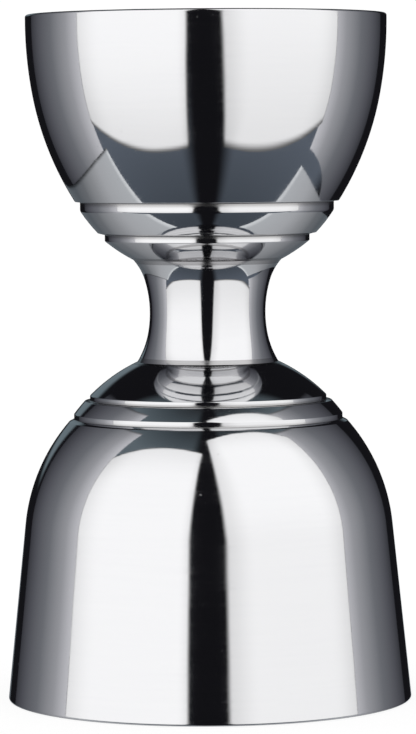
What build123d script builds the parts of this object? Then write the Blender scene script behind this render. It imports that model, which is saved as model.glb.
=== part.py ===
from build123d import *

import os
from math import asin, atan2, cos, degrees, hypot, radians, sin, sqrt

# A bar jigger of the double bell kind: a small cup, mouth up, and a large cup, mouth down, on a waisted
# neck. It is three spun steel shells, joined by two weld rings that are ground flush with the outside.
# Millimetres. +Z runs up the axis, from the large cup to the small one. The origin is the centre of the
# large cup's rim, which the jigger stands on.
# Each outline is half a section through the axis: X is the distance from the axis and Y is the height.

# Sheet
WALL = 1.0
RIM_ROUND = 0.3  # both edges of each mouth
EDGE_ROUND = 0.16  # outer edges of the stepped rings
ROOT_ROUND = 0.12  # corners at the foot of each step
SHOULDER_ROUND = 0.7  # where a ring's dome turns into its side
INSIDE_ROUND = 0.8  # hollows of the sheet's inner surface, behind the rings' edges

# Overall
HEIGHT = 82.5
LARGE_RIM_R = 24.4  # before its edges are rounded
SMALL_RIM_R = 21.7

# Large cup: a hemisphere on a drafted skirt, with two stepped rings round its crown
SKIRT_DOME_R, SKIRT_DOME_Y = 22.3, 18.92
SKIRT_TOP_R = 16.8
LARGE_RING_DOME_R, LARGE_RING_DOME_Y = 20.2, 22.43
LARGE_RING_R, LARGE_RING_TOP_R, LARGE_RING_FOOT_Y = 16.2, 14.9, 33.9
CROWN_DOME_R, CROWN_DOME_Y = 20.07, 22.58
CROWN_R, CROWN_FOOT_Y = 14.26, 36.12

# Small cup: a deep bowl of two tangent arcs, with two stepped rings round its foot
BOWL_UPPER_ARC, BOWL_UPPER_Y = 48.5, 81.71  # the wall is upright at this height
BOWL_LOWER_ARC, BOWL_BLEND_Y = 36.65, 72.9
BOWL_FOOT_Y = 60.06
SMALL_RING_DOME_R, SMALL_RING_DOME_Y = 18.17, 68.8
SMALL_RING_R, SMALL_RING_TOP_R, SMALL_RING_HEAD_Y = 15.28, 13.15, 60.01
FOOT_DOME_R, FOOT_DOME_Y = 19.24, 70.09
FOOT_R, FOOT_HEAD_Y = 12.33, 56.08

# Neck: the waist's arc runs at each end into a tighter flare, which meets a cup's dome at the seam
WAIST_R, WAIST_Y, WAIST_ARC = 6.97, 46.66, 13.67
UPPER_SEAM_R, UPPER_LEAN = 8.93, radians(42)  # the flare's lean from the axis at the seam
LOWER_SEAM_R, LOWER_LEAN = 8.5, radians(31)
BEAD_R = 0.6  # weld bead, before it is ground flush

OVERRUN = 3.0  # how far a blank runs on past its mouth before it is cut off
REACH = 60.0  # larger than any section
TINY = 1e-6


class Dome:
    """A sphere centred on the axis: its crown for side 1, its bowl for side -1."""

    def __init__(self, radius, centre, side):
        self.radius = radius
        self.centre = centre
        self.side = side

    def at(self, distance):
        """The point of the dome at a distance from the axis."""
        return Vector(distance, self.centre + self.side * sqrt(self.radius**2 - distance**2))

    def arc(self, inner, outer):
        """The dome's outline between two distances from the axis."""
        return ThreePointArc(self.at(inner), self.at((inner + outer) / 2), self.at(outer))


crown_dome = Dome(CROWN_DOME_R, CROWN_DOME_Y, 1)
large_ring_dome = Dome(LARGE_RING_DOME_R, LARGE_RING_DOME_Y, 1)
skirt_dome = Dome(SKIRT_DOME_R, SKIRT_DOME_Y, 1)
foot_dome = Dome(FOOT_DOME_R, FOOT_DOME_Y, -1)
small_ring_dome = Dome(SMALL_RING_DOME_R, SMALL_RING_DOME_Y, -1)

upper_seam_point = foot_dome.at(UPPER_SEAM_R)
lower_seam_point = crown_dome.at(LOWER_SEAM_R)
waist_centre = Vector(WAIST_R + WAIST_ARC, WAIST_Y)


def section_to_axis(outline):
    """The region between the axis and an outline, which is a list of curves from end to end."""
    start = outline[0] @ 0
    end = outline[-1] @ 1
    corners = [end, Vector(0, end.Y), Vector(0, start.Y), start]
    sides = [Line(a, b) for a, b in zip(corners, corners[1:]) if (a - b).length > TINY]
    return make_face(outline + sides)


def rounded(section, radius, corners):
    """The section with the corners nearest to the given points rounded."""
    picked = [section.vertices().sort_by_distance(corner)[0] for corner in corners]
    return section.faces()[0].fillet_2d(radius, picked)


def between(low, high):
    """The half plane between two heights."""
    return Pos(REACH / 2, (low + high) / 2) * Rectangle(REACH, high - low)


def shell(blank, low, high):
    """The sheet one wall deep under a blank's outline, cut off square between two heights."""
    whole = blank + make_face(mirror(blank, Plane.YZ).edges())
    cavity = offset(offset(whole, -WALL - INSIDE_ROUND), INSIDE_ROUND)
    return (blank - cavity) & between(low, high)


def finished(section, edges, roots, mouth_height):
    """A cup's section with the edges and roots of its steps and both edges of its mouth rounded."""
    section = rounded(rounded(section, EDGE_ROUND, edges), ROOT_ROUND, roots)
    mouth = section.vertices().filter_by_position(Axis.Y, mouth_height - TINY, mouth_height + TINY)
    return section.fillet_2d(RIM_ROUND, mouth)


def large_cup_blank():
    """The large cup as a solid that runs on past its mouth, and its steps' edges and roots."""
    rim = Vector(LARGE_RIM_R, 0)
    draft = atan2(LARGE_RIM_R, SKIRT_DOME_Y) - asin(SKIRT_DOME_R / hypot(LARGE_RIM_R, SKIRT_DOME_Y))
    skirt_top = skirt_dome.at(SKIRT_DOME_R * cos(draft))
    past_rim = rim + (rim - skirt_top).normalized() * OVERRUN
    crown_edge = crown_dome.at(CROWN_R)
    crown_foot = Vector(CROWN_R, CROWN_FOOT_Y)
    ring_top = large_ring_dome.at(LARGE_RING_TOP_R)
    ring_edge = large_ring_dome.at(LARGE_RING_R)
    ring_foot = Vector(LARGE_RING_R, LARGE_RING_FOOT_Y)
    ledge_edge = skirt_dome.at(SKIRT_TOP_R)
    blank = section_to_axis(
        [
            crown_dome.arc(0, CROWN_R),
            Line(crown_edge, crown_foot),
            Line(crown_foot, ring_top),
            large_ring_dome.arc(LARGE_RING_TOP_R, LARGE_RING_R),
            Line(ring_edge, ring_foot),
            Line(ring_foot, ledge_edge),
            skirt_dome.arc(SKIRT_TOP_R, skirt_top.X),
            Line(skirt_top, past_rim),
        ]
    )
    return blank, [crown_edge, ring_top, ring_edge, ledge_edge], [crown_foot, ring_foot]


def small_cup_blank():
    """The small cup as a solid that runs on past its mouth, and its steps' edges and roots."""
    upper_centre_x = SMALL_RIM_R - BOWL_UPPER_ARC
    upper_lean = asin((BOWL_UPPER_Y - BOWL_BLEND_Y) / BOWL_UPPER_ARC)
    blend = Vector(upper_centre_x + BOWL_UPPER_ARC * cos(upper_lean), BOWL_BLEND_Y)
    lower_centre = blend - BOWL_LOWER_ARC * Vector(cos(upper_lean), -sin(upper_lean))
    foot_lean = asin((lower_centre.Y - BOWL_FOOT_Y) / BOWL_LOWER_ARC)
    bowl_foot = Vector(lower_centre.X + BOWL_LOWER_ARC * cos(foot_lean), BOWL_FOOT_Y)
    bowl_top = Vector(SMALL_RIM_R, BOWL_UPPER_Y)
    past_rim = Vector(SMALL_RIM_R, HEIGHT + OVERRUN)
    foot_edge = foot_dome.at(FOOT_R)
    foot_head = Vector(FOOT_R, FOOT_HEAD_Y)
    ring_top = small_ring_dome.at(SMALL_RING_TOP_R)
    ring_edge = small_ring_dome.at(SMALL_RING_R)
    ring_head = Vector(SMALL_RING_R, SMALL_RING_HEAD_Y)
    blank = section_to_axis(
        [
            foot_dome.arc(0, FOOT_R),
            Line(foot_edge, foot_head),
            Line(foot_head, ring_top),
            small_ring_dome.arc(SMALL_RING_TOP_R, SMALL_RING_R),
            Line(ring_edge, ring_head),
            Line(ring_head, bowl_foot),
            RadiusArc(bowl_foot, blend, -BOWL_LOWER_ARC),
            RadiusArc(blend, bowl_top, -BOWL_UPPER_ARC),
            Line(bowl_top, past_rim),
        ]
    )
    blank = rounded(blank, SHOULDER_ROUND, [ring_edge])
    return blank, [foot_edge, ring_top, bowl_foot], [foot_head, ring_head]


def flare(seam_point, lean, side):
    """Centre and radius of the arc that leaves a seam at the lean and runs into the waist's arc."""
    normal = Vector(cos(lean), -side * sin(lean))
    away = seam_point - waist_centre
    radius = (WAIST_ARC**2 - away.length**2) / (2 * (away.dot(normal) + WAIST_ARC))
    return seam_point + normal * radius, radius


def neck_outline(depth):
    """The neck's outline from its lower seam to its upper one, at a depth under its outer surface."""
    low_centre, low_radius = flare(lower_seam_point, LOWER_LEAN, -1)
    high_centre, high_radius = flare(upper_seam_point, UPPER_LEAN, 1)
    low_turn = atan2(waist_centre.Y - low_centre.Y, waist_centre.X - low_centre.X)
    high_turn = atan2(high_centre.Y - waist_centre.Y, waist_centre.X - high_centre.X)

    def arc(centre, radius, start, end):
        """An arc about a centre right of the neck, between two leans from the axis."""
        return CenterArc(centre, radius + depth, 180 - degrees(start), degrees(start - end))

    return [
        arc(low_centre, low_radius, -LOWER_LEAN, -low_turn),
        arc(waist_centre, WAIST_ARC, -low_turn, high_turn),
        arc(high_centre, high_radius, high_turn, UPPER_LEAN),
    ]


def turned(section):
    """The solid that a half section makes when it is turned about the axis."""
    return revolve(Plane.XZ * section, Axis.Z)


large_blank, large_edges, large_roots = large_cup_blank()
small_blank, small_edges, small_roots = small_cup_blank()
large_cup = finished(shell(large_blank, 0, HEIGHT), large_edges, large_roots, 0)
small_cup = finished(shell(small_blank, 0, HEIGHT), small_edges, small_roots, HEIGHT)

# The neck's ends are trimmed to the domes that they bear on.
neck = section_to_axis(neck_outline(0)) - section_to_axis(neck_outline(WALL)) - large_blank - small_blank

# Each weld bead has eaten into the cup and the neck on both sides of its seam.
lower_bead = Pos(lower_seam_point) * Circle(BEAD_R)
upper_bead = Pos(upper_seam_point) * Circle(BEAD_R)
lower_seam = lower_bead & (large_cup + neck)
upper_seam = upper_bead & (small_cup + neck)
large_cup = large_cup - lower_bead
small_cup = small_cup - upper_bead
neck = neck - lower_bead - upper_bead

nodes = {
    "large_cup": large_cup,
    "lower_seam": lower_seam,
    "neck": neck,
    "upper_seam": upper_seam,
    "small_cup": small_cup,
}

os.makedirs("parts", exist_ok=True)
for name, section in nodes.items():
    export_step(turned(section), f"parts/{name}.step")
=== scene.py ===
from collections import defaultdict
from math import atan2, cos, dist, pi, radians, sin

import bpy
import numpy as np
from mathutils import Matrix, Vector


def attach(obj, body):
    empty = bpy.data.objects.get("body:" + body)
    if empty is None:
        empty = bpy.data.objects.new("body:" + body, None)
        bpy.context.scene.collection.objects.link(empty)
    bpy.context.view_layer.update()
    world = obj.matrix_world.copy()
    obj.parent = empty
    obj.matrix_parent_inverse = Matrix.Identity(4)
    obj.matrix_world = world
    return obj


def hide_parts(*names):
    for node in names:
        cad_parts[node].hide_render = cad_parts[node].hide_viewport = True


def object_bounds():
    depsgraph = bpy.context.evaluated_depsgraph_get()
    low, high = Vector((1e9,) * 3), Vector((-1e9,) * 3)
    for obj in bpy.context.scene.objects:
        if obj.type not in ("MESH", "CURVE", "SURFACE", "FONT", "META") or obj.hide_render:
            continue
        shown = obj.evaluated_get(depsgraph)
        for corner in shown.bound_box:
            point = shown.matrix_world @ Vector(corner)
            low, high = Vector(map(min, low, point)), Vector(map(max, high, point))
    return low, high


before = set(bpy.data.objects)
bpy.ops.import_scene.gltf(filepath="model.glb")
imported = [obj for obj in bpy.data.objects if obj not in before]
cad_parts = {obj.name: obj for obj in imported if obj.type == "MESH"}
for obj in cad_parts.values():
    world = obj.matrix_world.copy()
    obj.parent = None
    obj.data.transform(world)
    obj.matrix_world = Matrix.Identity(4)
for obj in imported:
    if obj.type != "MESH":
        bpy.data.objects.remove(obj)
cad_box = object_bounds()

# A bar jigger in mirror-polished steel. Each CAD node is replaced by a finely turned mesh of its outline.
# Metres. +Z runs up the axis, and the jigger stands on the plane Z = 0, on the large cup's rim.
# Azimuths are in degrees, seen from the jigger: 0 is towards the camera, on the -Y side, and they grow
# towards +X.

MM = 0.001
HEIGHT = cad_box[1][2] - cad_box[0][2]
CUPS = ("large_cup", "small_cup")

# Turned meshes
SEGMENTS = 240  # round the axis
LONGEST_CHORD = 0.55 * MM  # along an outline
SAME_LENGTH = 0.02  # neighbouring chords of one arc differ in length by less than this share
MOST_TURN = radians(12)  # and turn by less than this
STRAIGHT = 1e-6  # a chord that turns by less than this is a line
KINK = radians(3)  # a sharper turn than this is a corner
TINY = 1e-6  # nearer to the axis or to the section's plane than this counts as on it
PLACE_DIGITS = 8  # decimals that a point of an outline is rounded to
BEND_REACH = 0.35 * MM  # how far along an outline an edge's wear, or a hollow's painted shade and roughness, spreads

# Camera
CAMERA_DISTANCE = 0.4691
CAMERA_HEIGHT = 0.0677
CAMERA_PITCH = radians(3.374)  # downwards
CAMERA_ROLL = radians(-0.38)
LENS = 190.95  # in mm, for a sensor 36 mm on its long side
SENSOR = 36.0
CAMERA_NEAR = 0.01

# Steel
STEEL_TONE = (0.655, 0.655, 0.665, 1.0)
STEEL_ROUGH = 0.035
WELD_TONE = (0.42, 0.415, 0.42, 1.0)
WELD_ROUGH = 0.11
ANISOTROPIC = 0.4

# Polishing rings, of two widths. A spread is how often they fade in and out round the axis.
WIDE_PITCH, WIDE_SPREAD, WIDE_SHARE = 0.6 * MM, 1.6, 0.6
FINE_PITCH, FINE_SPREAD, FINE_SHARE = 0.16 * MM, 3.0, 0.4
STREAK_COLOUR = (0.90, 0.91, 0.93, 1.0)
STREAK_TONE, STREAK_TONE_RANGE = 0.08, (0.35, 0.65)  # each range is the noise over which an effect sets in
STREAK_ROUGH, STREAK_ROUGH_RANGE = 0.03, (0.35, 0.7)
SCRATCH_ROUGH, SCRATCH_RANGE = 0.02, (0.58, 0.72)
GROOVE_DEPTH = 0.0009 * MM

# Waviness, clouds and specks. A scale is how many fit into a metre.
WAVE_SCALE = 130.0
WAVE_DEPTH = 0.02 * MM
CLOUD_SCALE = 90.0
CLOUD_ROUGH, CLOUD_RANGE = 0.02, (0.45, 0.75)
SPECK_SCALE = 2600.0
SPECK_ROUGH, SPECK_RANGE = 0.14, (0.85, 0.87)

# Painted shade and extra roughness in the hollows of the steps, dulled edges, and the rougher insides of
# the cups
HOLLOW_SHADE_TONE = (0.16, 0.15, 0.14, 1.0)
HOLLOW_SHADE_SHARE = 0.55
HOLLOW_ROUGH = 0.12
EDGE_ROUGH = 0.03
INSIDE_ROUGH = 0.12
BEND_RANGE = (radians(25), radians(85))  # the outline's bend over which a hollow or an edge sets in

# Studio: two soft boxes in front, with a dark gap between them, a grey wall at each side and a pale
# plinth. A card's fades are (side, width as a share of the card, level at the side). A soft box's lower
# and upper edges each run from one offset to another, to the left and the right of its azimuth.
PANEL_DISTANCE = 0.42
PANEL_LIGHT = 1.42
PANEL_FADES = [("top", 0.03, 0.2), ("top", 0.4, 0.86), ("bottom", 0.03, 0.15), ("bottom", 0.35, 0.82)]
LEFT_PANEL_FADES = [("left", 0.02, 0.0), ("left", 0.45, 0.84), ("right", 0.02, 0.1), ("right", 0.06, 0.85)]
RIGHT_PANEL_FADES = [("right", 0.02, 0.0), ("right", 0.45, 0.84), ("left", 0.02, 0.1), ("left", 0.12, 0.8)]
LEFT_PANEL = {"azimuth": -26.5, "lower": (-0.79, 0.095), "upper": (-0.79, 0.16), "heights": (-0.297, 0.815)}
RIGHT_PANEL = {"azimuth": 28.0, "lower": (-0.113, 0.79), "upper": (-0.26, 0.95), "heights": (-0.295, 1.377)}

WALL_DISTANCE = 1.2
WALL_STEPS = 24
WALL_FADES = [("top", 0.04, 0.3), ("top", 0.25, 0.85)]
LEFT_WALL = {"azimuths": (-88.0, -146.0), "bottoms": (-0.75, -0.75), "tops": (2.0, 0.75)}
RIGHT_WALL = {"azimuths": (88.0, 146.0), "bottoms": (-0.64, -0.62), "tops": (2.0, 0.75)}
WALL_GREYS = [  # from the front edge to the back one
    (0.0, (188, 188, 192)),
    (0.2, (145, 146, 150)),
    (0.48, (103, 105, 110)),
    (0.78, (76, 77, 83)),
    (1.0, (48, 49, 54)),
]

PLINTH_LEVEL = -0.3
PLINTH_CORNERS = [(-0.62, -0.068), (0.505, -0.03), (0.50, 3.6), (-0.76, 3.6)]
PLINTH_FADES = [("left", 0.025, 0.1)]
PLINTH_GREYS = [  # from the front edge to the back one
    (0.0, (205, 208, 210)),
    (0.003, (205, 208, 210)),
    (0.006, (168, 171, 174)),
    (0.05, (158, 160, 163)),
    (0.09, (134, 136, 139)),
    (0.16, (98, 101, 105)),
    (0.28, (78, 83, 88)),
    (1.0, (88, 95, 100)),
]

# The room beyond the cards: slate from straight down, 0, to straight up, 1, with a dark gap in front and
# two paler bands behind. Edges are the azimuths, and heights the sines of the elevation, between which
# each of them fades in.
SLATES = [
    (0.0, (58, 64, 71)),
    (0.25, (84, 91, 101)),
    (0.5, (56, 60, 65)),
    (0.9, (88, 98, 104)),
    (0.965, (60, 68, 73)),
    (0.985, (46, 51, 55)),
    (0.994, (32, 34, 37)),
]
GAP_COLOUR = (17, 17, 20)
GAP_AZIMUTH = 1.0
GAP_EDGE = (9.0, 24.0)  # counted from the gap's middle, where its dark ends
GAP_BACK = (125.0, 105.0)  # and where it returns, behind the walls
BAND_COLOUR = (92, 103, 109)
LEFT_BAND = ((-150.0, -155.0), (-180.0, -174.0))
RIGHT_BAND = (168.0, 173.0)  # and on to straight behind
BAND_BOTTOM = (0.04, 0.12)
BAND_TOP = (0.42, 0.3)

BACKDROP = 1.03
FLOOR_SIZE = 30.0
FLOOR_DROP = 0.05 * MM
FLOOR_MATT = 0.2  # the share of the floor's white that comes from the light on it


# ---------------------------------------------------------------- outlines, read from the frame


def section_neighbours(mesh):
    """Neighbours of each point where the mesh crosses the half plane Y = 0, X > 0, as (radius, height)."""
    places = {}
    for vertex in mesh.vertices:
        if abs(vertex.co.y) < TINY and vertex.co.x > -TINY:
            places[vertex.index] = (round(abs(vertex.co.x), PLACE_DIGITS), round(vertex.co.z, PLACE_DIGITS))
    neighbours = defaultdict(set)
    for edge in mesh.edges:
        ends = [places.get(index) for index in edge.vertices]
        if None not in ends and ends[0] != ends[1]:
            neighbours[ends[0]].add(ends[1])
            neighbours[ends[1]].add(ends[0])
    return neighbours


def signed_area(points):
    """The area inside an outline, negative where its points run clockwise."""
    pairs = zip(points, points[1:] + points[:1])
    return sum(a[0] * b[1] - b[0] * a[1] for a, b in pairs) / 2


def outline_of(node):
    """The outline of a node's section, clockwise, and whether it is a closed loop that misses the axis."""
    neighbours = section_neighbours(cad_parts[node].data)
    ends = [point for point, near in neighbours.items() if len(near) == 1]
    start = min(ends or neighbours)
    points = [start]
    previous = None
    while True:
        ahead = sorted(point for point in neighbours[points[-1]] if point != previous)
        if not ahead or (ahead[0] == start and previous is not None):
            break
        previous = points[-1]
        points.append(ahead[0])
    if signed_area(points) > 0:
        points.reverse()
    return points, not ends


def turn_between(first, second):
    """The turn from one heading to the next, between -pi and pi."""
    return (second - first + pi) % (2 * pi) - pi


class Chord:
    """A straight piece of an outline, with the turn of the arc that it stands for, 0 for a line."""

    def __init__(self, start, end):
        self.start = start
        self.end = end
        self.length = dist(start, end)
        self.heading = atan2(end[1] - start[1], end[0] - start[0])
        self.turn = 0.0

    def heading_at(self, share):
        """The arc's heading at a share of its length."""
        return self.heading + (share - 0.5) * self.turn

    def point_at(self, share):
        """A point of the arc, or of the line, at a share of its length."""
        if abs(self.turn) < STRAIGHT:
            return tuple(a + (b - a) * share for a, b in zip(self.start, self.end))
        radius = self.length / (2 * sin(self.turn / 2))
        begin = self.heading_at(0)
        here = self.heading_at(share)
        return (
            self.start[0] + radius * (sin(here) - sin(begin)),
            self.start[1] - radius * (cos(here) - cos(begin)),
        )


def chords_of(points, closed):
    """The chords along an outline. Neighbours of one length that turn alike stand for one arc."""
    path = points + points[:1] if closed else points
    chords = [Chord(a, b) for a, b in zip(path, path[1:])]
    for index, chord in enumerate(chords):
        turns = []
        for other in (index - 1, index + 1):
            if not closed and not 0 <= other < len(chords):
                continue
            near = chords[other % len(chords)]
            alike = abs(near.length - chord.length) < SAME_LENGTH * chord.length
            turn = turn_between(chord.heading, near.heading) * (other - index)
            if alike and abs(turn) < MOST_TURN:
                turns.append(turn)
        if turns:
            chord.turn = min(turns, key=abs)
    return chords


class Ring:
    """A ring of a turned mesh: its place, its distance along the outline and the headings on both sides."""

    def __init__(self, place, along, before, after):
        self.radius, self.height = place
        self.along = along
        self.before = before
        self.after = after

    def smooth(self):
        """Gives both sides one heading, unless they meet at a corner."""
        turn = turn_between(self.before, self.after)
        if abs(turn) < KINK:
            self.before = self.before + turn / 2
            self.after = self.before


def rings_of(node):
    """The rings of a node's turned mesh, and whether they close on themselves."""
    points, closed = outline_of(node)
    chords = chords_of(points, closed)
    rings = []
    along = 0.0
    for index, chord in enumerate(chords):
        steps = max(1, round(chord.length / LONGEST_CHORD))
        for step in range(steps):
            share = step / steps
            here = chord.heading_at(share)
            starts = step == 0 and (index > 0 or closed)
            before = chords[index - 1].heading_at(1) if starts else here
            rings.append(Ring(chord.point_at(share), along + share * chord.length, before, here))
        along += chord.length
    if not closed:
        heading = chords[-1].heading_at(1)
        rings.append(Ring(chords[-1].end, along, heading, heading))
    for ring in rings:
        ring.smooth()
    return rings, closed


def bends_of(rings):
    """How far the outline turns within BEND_REACH of each ring, in radians, outer edges positive."""
    along = []
    turned = []
    total = 0.0
    for earlier, ring in zip([None] + rings, rings):
        if earlier:
            total -= turn_between(earlier.after, ring.before)
        along.append(ring.along)
        turned.append(total)
        total -= turn_between(ring.before, ring.after)
        along.append(ring.along)
        turned.append(total)
    ahead = [ring.along + BEND_REACH for ring in rings]
    behind = [ring.along - BEND_REACH for ring in rings]
    return np.interp(ahead, along, turned) - np.interp(behind, along, turned)


def inside_of(node, rings):
    """1 for each ring on a cup's inner surface, 0 on its outer one and on the other nodes."""
    if node not in CUPS:
        return [0.0] * len(rings)
    reach = [ring.radius + abs(ring.height - HEIGHT / 2) for ring in rings]
    mouth = reach.index(max(reach))
    outer_first = node == "large_cup"
    return [float((index > mouth) == outer_first) for index in range(len(rings))]


# ---------------------------------------------------------------- turned meshes


def turned_mesh(node):
    """A node's outline turned about the axis, with exact normals, UVs and the attributes that its finish
    and its painted shade read.
    """
    rings, closed = rings_of(node)
    spokes = [(cos(2 * pi * i / SEGMENTS), sin(2 * pi * i / SEGMENTS)) for i in range(SEGMENTS)]
    points = []
    owners = []  # the ring that each point belongs to
    first_of = []  # each ring's first point
    for index, ring in enumerate(rings):
        first_of.append(len(points))
        around = [(0.0, 0.0)] if ring.radius < TINY else spokes
        points += [(ring.radius * x, ring.radius * y, ring.height) for x, y in around]
        owners += [index] * len(around)

    def corner(index, segment):
        """The point of a ring at a segment."""
        return first_of[index] + (0 if rings[index].radius < TINY else segment % SEGMENTS)

    first, last = rings[0], rings[-1]
    length = last.along
    if closed:
        length += dist((last.radius, last.height), (first.radius, first.height))
    faces = []
    normals = []
    uvs = []
    for low in range(len(rings) if closed else len(rings) - 1):
        high = (low + 1) % len(rings)
        headings = {low: rings[low].after, high: rings[high].before}
        places = {low: rings[low].along / length, high: rings[high].along / length if high else 1.0}
        for segment in range(SEGMENTS):
            face = []
            for ring, spoke in ((low, segment), (high, segment), (high, segment + 1), (low, segment + 1)):
                point = corner(ring, spoke)
                if point in face:
                    continue
                face.append(point)
                x, y = spokes[spoke % SEGMENTS]
                heading = headings[ring]
                normals.append((-sin(heading) * x, -sin(heading) * y, cos(heading)))
                uvs += [spoke / SEGMENTS, places[ring]]
            faces.append(face)

    mesh = bpy.data.meshes.new(node + "_turned")
    mesh.from_pydata(points, [], faces)
    mesh.polygons.foreach_set("use_smooth", [True] * len(faces))
    mesh.uv_layers.new(name="turned").data.foreach_set("uv", uvs)
    bends = bends_of(rings)
    finish = {
        "along": [ring.along for ring in rings],
        "edge": [max(0.0, bend) for bend in bends],
        "hollow": [max(0.0, -bend) for bend in bends],
        "inside": inside_of(node, rings),
    }
    for name, values in finish.items():
        attribute = mesh.attributes.new(name, "FLOAT", "POINT")
        attribute.data.foreach_set("value", [values[owner] for owner in owners])
    mesh.validate()
    mesh.normals_split_custom_set(normals)
    return mesh


# ---------------------------------------------------------------- materials


class Nodes:
    """Short forms for building a node tree."""

    def __init__(self, tree):
        self.tree = tree
        tree.nodes.clear()

    def put(self, socket, value):
        """Links a socket to another one, or sets it to a number or a colour."""
        if isinstance(value, bpy.types.NodeSocket):
            self.tree.links.new(value, socket)
        else:
            socket.default_value = value

    def add(self, kind, settings=None, **inputs):
        """A node with its settings and inputs. _0 is its first socket, and _ in a name is a space."""
        node = self.tree.nodes.new("ShaderNode" + kind)
        for name, value in (settings or {}).items():
            setattr(node, name, value)
        for name, value in inputs.items():
            key = int(name[1:]) if name[0] == "_" else name.replace("_", " ")
            self.put(node.inputs[key], value)
        return node

    def math(self, operation, first, second=0.0):
        """The result of an operation on two values."""
        return self.add("Math", {"operation": operation}, _0=first, _1=second).outputs[0]

    def total(self, values):
        """The sum of some values."""
        result = values[0]
        for value in values[1:]:
            result = self.math("ADD", result, value)
        return result

    def ramp(self, value, given, wanted=(0.0, 1.0), kind="SMOOTHSTEP"):
        """A value brought from the range it is given in to the wanted one, and held there."""
        ends = {"From_Min": given[0], "From_Max": given[1], "To_Min": wanted[0], "To_Max": wanted[1]}
        return self.add("MapRange", {"interpolation_type": kind}, Value=value, **ends).outputs["Result"]

    def mix(self, share, first, second, blend="MIX"):
        """A share of the second colour mixed into the first."""
        node = self.add("Mix", {"data_type": "RGBA", "blend_type": blend}, _0=share, _6=first, _7=second)
        return node.outputs[2]

    def attribute(self, name):
        """A value that the mesh carries."""
        return self.add("Attribute", {"attribute_name": name}).outputs["Fac"]

    def noise(self, vector, scale, detail, roughness=0.5):
        """Noise from 0 to 1."""
        node = self.add("TexNoise", None, Vector=vector, Scale=scale, Detail=detail, Roughness=roughness)
        return node.outputs["Fac"]

    def bump(self, height, depth, **normal):
        """A normal tilted by a height, whose whole range is a depth in metres."""
        return self.add("Bump", None, Height=height, Strength=1.0, Distance=depth, **normal).outputs[0]

    def finish(self, shader, kind="OutputMaterial"):
        """Sends a shader to the tree's output."""
        self.put(self.add(kind).inputs["Surface"], shader.outputs[0])


def new_material(name):
    """An empty material and the short forms for its nodes."""
    material = bpy.data.materials.new(name)
    material.use_nodes = True
    return material, Nodes(material.node_tree)


def round_axis(nodes, spread, pitch):
    """Coordinates for a pattern of rings: a spoke's direction times a spread, and the place in pitches."""
    place = nodes.add("TexCoord").outputs["Object"]
    flat = nodes.add("VectorMath", {"operation": "MULTIPLY"}, _0=place, _1=(1.0, 1.0, 0.0)).outputs[0]
    spoke = nodes.add("VectorMath", {"operation": "NORMALIZE"}, _0=flat).outputs[0]
    x, y, _ = nodes.add("SeparateXYZ", None, Vector=spoke).outputs
    return nodes.add(
        "CombineXYZ",
        None,
        X=nodes.math("MULTIPLY", x, spread),
        Y=nodes.math("MULTIPLY", y, spread),
        Z=nodes.math("DIVIDE", nodes.attribute("along"), pitch),
    ).outputs[0]


def steel(name, tone, roughness):
    """Polished sheet steel: fine rings left by the polishing wheel, slight waviness, and hollows that are
    rougher and darkened with painted shade.
    """
    material, nodes = new_material(name)
    hollow = nodes.ramp(nodes.attribute("hollow"), BEND_RANGE)
    edge = nodes.ramp(nodes.attribute("edge"), BEND_RANGE)
    inside = nodes.attribute("inside")
    place = nodes.add("TexCoord").outputs["Object"]

    wide = nodes.noise(round_axis(nodes, WIDE_SPREAD, WIDE_PITCH), 1.0, detail=3.0, roughness=0.6)
    fine = nodes.noise(round_axis(nodes, FINE_SPREAD, FINE_PITCH), 1.0, detail=2.0)
    shares = [nodes.math("MULTIPLY", *pair) for pair in ((wide, WIDE_SHARE), (fine, FINE_SHARE))]
    streaks = nodes.total(shares)
    cloud = nodes.noise(place, CLOUD_SCALE, detail=2.0)
    speck = nodes.noise(place, SPECK_SCALE, detail=0.0)
    swell = nodes.noise(place, WAVE_SCALE, detail=1.0, roughness=0.4)

    # Painted shade: the hollows of the steps are darkened towards a dark brownish grey.
    colour = nodes.mix(nodes.math("MULTIPLY", hollow, HOLLOW_SHADE_SHARE), tone, HOLLOW_SHADE_TONE)
    streak_share = nodes.ramp(streaks, STREAK_TONE_RANGE, (0.0, STREAK_TONE))
    colour = nodes.mix(streak_share, colour, STREAK_COLOUR, "MULTIPLY")
    rough = nodes.total(
        [
            nodes.ramp(streaks, STREAK_ROUGH_RANGE, (roughness, roughness + STREAK_ROUGH)),
            nodes.ramp(fine, SCRATCH_RANGE, (0.0, SCRATCH_ROUGH)),
            nodes.ramp(cloud, CLOUD_RANGE, (0.0, CLOUD_ROUGH)),
            nodes.ramp(speck, SPECK_RANGE, (0.0, SPECK_ROUGH)),
            nodes.math("MULTIPLY", hollow, HOLLOW_ROUGH),
            nodes.math("MULTIPLY", edge, EDGE_ROUGH),
            nodes.math("MULTIPLY", inside, INSIDE_ROUGH),
        ]
    )
    grooves = nodes.bump(streaks, GROOVE_DEPTH, Normal=nodes.bump(swell, WAVE_DEPTH))
    shader = nodes.add(
        "BsdfPrincipled",
        None,
        Base_Color=colour,
        Metallic=1.0,
        Roughness=rough,
        Normal=grooves,
        Anisotropic=ANISOTROPIC,
        Tangent=nodes.add("Tangent", {"direction_type": "RADIAL", "axis": "Z"}).outputs[0],
    )
    nodes.finish(shader)
    return material


def srgb(red, green, blue):
    """A colour given as it shows on a screen, from 0 to 255, as the linear one that shaders take."""
    levels = [level / 255 for level in (red, green, blue)]
    return tuple(v / 12.92 if v <= 0.04045 else ((v + 0.055) / 1.055) ** 2.4 for v in levels)


def shown(colour):
    """The light that shows in the steel as the given screen colour."""
    return tuple(channel / STEEL_TONE[0] for channel in srgb(*colour)) + (1.0,)


def set_stops(ramp, stops):
    """Gives a colour ramp its stops: places and the colours that the steel shows there."""
    elements = ramp.color_ramp.elements
    while len(elements) < len(stops):
        elements.new(0.5)
    for element, (place, colour) in zip(elements, stops):
        element.position = place
        element.color = shown(colour)


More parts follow.
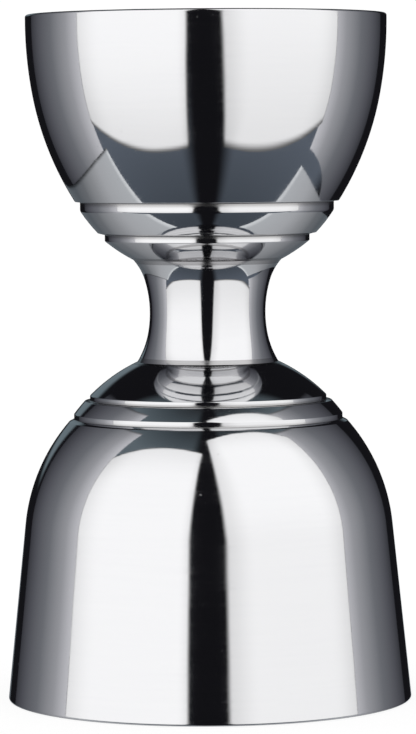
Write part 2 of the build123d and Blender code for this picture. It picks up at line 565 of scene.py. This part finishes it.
def light(name, colour, fades, greys_from=None):
    """Light from a card, in one colour, or through stops of (place, colour) that start at one side."""
    material, nodes = new_material(name)
    u, v, _ = nodes.add("SeparateXYZ", None, Vector=nodes.add("UVMap").outputs[0]).outputs
    places = {
        "left": u,
        "right": nodes.math("SUBTRACT", 1.0, u),
        "bottom": v,
        "top": nodes.math("SUBTRACT", 1.0, v),
    }
    if greys_from:
        ramp = nodes.add("ValToRGB", None, Fac=places[greys_from])
        set_stops(ramp, colour)
        colour = ramp.outputs[0]
    level = 1.0
    for side, width, edge_level in fades:
        level = nodes.math("MULTIPLY", nodes.ramp(places[side], (0.0, width), (edge_level, 1.0)), level)
    nodes.finish(nodes.add("Emission", None, Color=colour, Strength=level))
    return material


# ---------------------------------------------------------------- the studio


def towards(azimuth):
    """The level direction of an azimuth."""
    return Vector((sin(radians(azimuth)), -cos(radians(azimuth)), 0.0))


def card(name, points, faces, uvs, material):
    """A glowing card that only the steel sees."""
    mesh = bpy.data.meshes.new(name)
    mesh.from_pydata(points, [], faces)
    mesh.uv_layers.new(name="card").data.foreach_set("uv", uvs)
    mesh.materials.append(material)
    thing = bpy.data.objects.new(name, mesh)
    bpy.context.collection.objects.link(thing)
    thing.visible_camera = False
    thing.visible_diffuse = False
    thing.visible_shadow = False
    thing.visible_transmission = False


def flat_card(name, corners, material):
    """A flat card: bottom left, bottom right, top right and top left, as the jigger sees it."""
    card(name, corners, [(0, 1, 2, 3)], [0, 0, 1, 0, 1, 1, 0, 1], material)


def panel(name, material, azimuth, lower, upper, heights):
    """A soft box that faces the jigger, from left to right at its lower edge and at its upper one."""
    along = towards(azimuth + 90)
    centre = towards(azimuth) * PANEL_DISTANCE
    bottom, top = [centre + Vector((0, 0, height)) for height in heights]
    places = ((bottom, lower[0]), (bottom, lower[1]), (top, upper[1]), (top, upper[0]))
    flat_card(name, [edge + along * offset for edge, offset in places], material)


def wall(name, material, azimuths, bottoms, tops):
    """A curved wall round the jigger between two azimuths, with its bottoms and tops at both ends."""
    points = []
    faces = []
    uvs = []
    for index in range(WALL_STEPS + 1):
        share = index / WALL_STEPS
        azimuth, bottom, top = [a + (b - a) * share for a, b in (azimuths, bottoms, tops)]
        side = towards(azimuth) * WALL_DISTANCE
        points += [(side.x, side.y, bottom), (side.x, side.y, top)]
    for index in range(WALL_STEPS):
        left, right = index / WALL_STEPS, (index + 1) / WALL_STEPS
        faces.append((2 * index, 2 * index + 2, 2 * index + 3, 2 * index + 1))
        uvs += [left, 0, right, 0, right, 1, left, 1]
    card(name, points, faces, uvs, material)


def build_studio():
    """The soft boxes, walls and plinth that the steel mirrors."""
    white = (PANEL_LIGHT, PANEL_LIGHT, PANEL_LIGHT, 1.0)
    panel("left_panel", light("left_light", white, PANEL_FADES + LEFT_PANEL_FADES), **LEFT_PANEL)
    panel("right_panel", light("right_light", white, PANEL_FADES + RIGHT_PANEL_FADES), **RIGHT_PANEL)
    wall("left_wall", light("left_wall_light", WALL_GREYS, WALL_FADES, "left"), **LEFT_WALL)
    wall("right_wall", light("right_wall_light", WALL_GREYS, WALL_FADES, "left"), **RIGHT_WALL)
    corners = [(x, y, PLINTH_LEVEL) for x, y in PLINTH_CORNERS]
    flat_card("plinth", corners, light("plinth_light", PLINTH_GREYS, PLINTH_FADES, "bottom"))


def build_world():
    """The room that the steel mirrors beyond the cards, and even white for the floor and the camera."""
    world = bpy.data.worlds.new("studio")
    bpy.context.scene.world = world
    world.use_nodes = True
    nodes = Nodes(world.node_tree)
    way = nodes.add("SeparateXYZ", None, Vector=nodes.add("TexCoord").outputs["Generated"])
    x, y, z = way.outputs
    azimuth = nodes.math("MULTIPLY", nodes.math("ARCTAN2", x, nodes.math("MULTIPLY", y, -1.0)), 180 / pi)
    slate = nodes.add("ValToRGB", None, Fac=nodes.ramp(z, (-1.0, 1.0), kind="LINEAR"))
    set_stops(slate, SLATES)

    off_gap = nodes.math("ABSOLUTE", nodes.math("SUBTRACT", azimuth, GAP_AZIMUTH))
    lit = nodes.math("MULTIPLY", nodes.ramp(off_gap, GAP_EDGE), nodes.ramp(off_gap, GAP_BACK))
    mirrored = nodes.mix(lit, shown(GAP_COLOUR), slate.outputs[0])

    left_band = nodes.math("MULTIPLY", *[nodes.ramp(azimuth, edge) for edge in LEFT_BAND])
    bands = nodes.math("MAXIMUM", left_band, nodes.ramp(azimuth, RIGHT_BAND))
    height = nodes.math("MULTIPLY", nodes.ramp(z, BAND_BOTTOM), nodes.ramp(z, BAND_TOP))
    mirrored = nodes.mix(nodes.math("MULTIPLY", bands, height), mirrored, shown(BAND_COLOUR))

    rays = nodes.add("LightPath")
    seen = nodes.mix(rays.outputs["Is Diffuse Ray"], mirrored, (1.0, 1.0, 1.0, 1.0))
    seen = nodes.mix(rays.outputs["Is Camera Ray"], seen, (BACKDROP, BACKDROP, BACKDROP, 1.0))
    nodes.finish(nodes.add("Background", None, Color=seen, Strength=1.0), "OutputWorld")


def build_floor():
    """A pale floor that the camera sees and the steel does not."""
    corners = [(-1, -1), (1, -1), (1, 1), (-1, 1)]
    mesh = bpy.data.meshes.new("floor")
    mesh.from_pydata([(x * FLOOR_SIZE, y * FLOOR_SIZE, 0) for x, y in corners], [], [(0, 1, 2, 3)])
    material, nodes = new_material("pale_floor")
    matt = nodes.add("BsdfDiffuse", None, Color=(FLOOR_MATT, FLOOR_MATT, FLOOR_MATT, 1.0))
    own = BACKDROP - FLOOR_MATT
    glow = nodes.add("Emission", None, Color=(own, own, own, 1.0))
    nodes.finish(nodes.add("AddShader", None, _0=matt.outputs[0], _1=glow.outputs[0]))
    mesh.materials.append(material)
    thing = bpy.data.objects.new("floor", mesh)
    bpy.context.collection.objects.link(thing)
    thing.location.z = -FLOOR_DROP
    thing.visible_glossy = False


def build_camera():
    """A camera in front of the jigger, a little above its middle, that looks slightly down."""
    data = bpy.data.cameras.new("camera")
    data.lens = LENS
    data.sensor_width = SENSOR
    data.clip_start = CAMERA_NEAR
    camera = bpy.data.objects.new("camera", data)
    bpy.context.collection.objects.link(camera)
    pitch = Matrix.Rotation(pi / 2 - CAMERA_PITCH, 4, "X")
    roll = Matrix.Rotation(CAMERA_ROLL, 4, "Z")
    camera.matrix_world = Matrix.Translation((0.0, -CAMERA_DISTANCE, CAMERA_HEIGHT)) @ pitch @ roll
    bpy.context.scene.camera = camera


# ---------------------------------------------------------------- the jigger


def build_jigger():
    """The five pieces, each in its own finish in place of its CAD node."""
    finishes = {
        "polished_steel": steel("polished_steel", STEEL_TONE, STEEL_ROUGH),
        "weld_steel": steel("weld_steel", WELD_TONE, WELD_ROUGH),
    }
    slots = {
        "large_cup": "polished_steel",
        "lower_seam": "weld_steel",
        "neck": "polished_steel",
        "upper_seam": "weld_steel",
        "small_cup": "polished_steel",
    }
    for node, slot in slots.items():
        mesh = turned_mesh(node)
        mesh.materials.append(finishes[slot])
        piece = bpy.data.objects.new(node + "_polished", mesh)
        bpy.context.collection.objects.link(piece)
        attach(piece, "root")
        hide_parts(node)


bpy.context.scene.view_settings.view_transform = "Standard"
build_camera()
build_studio()
build_world()
build_floor()
build_jigger()
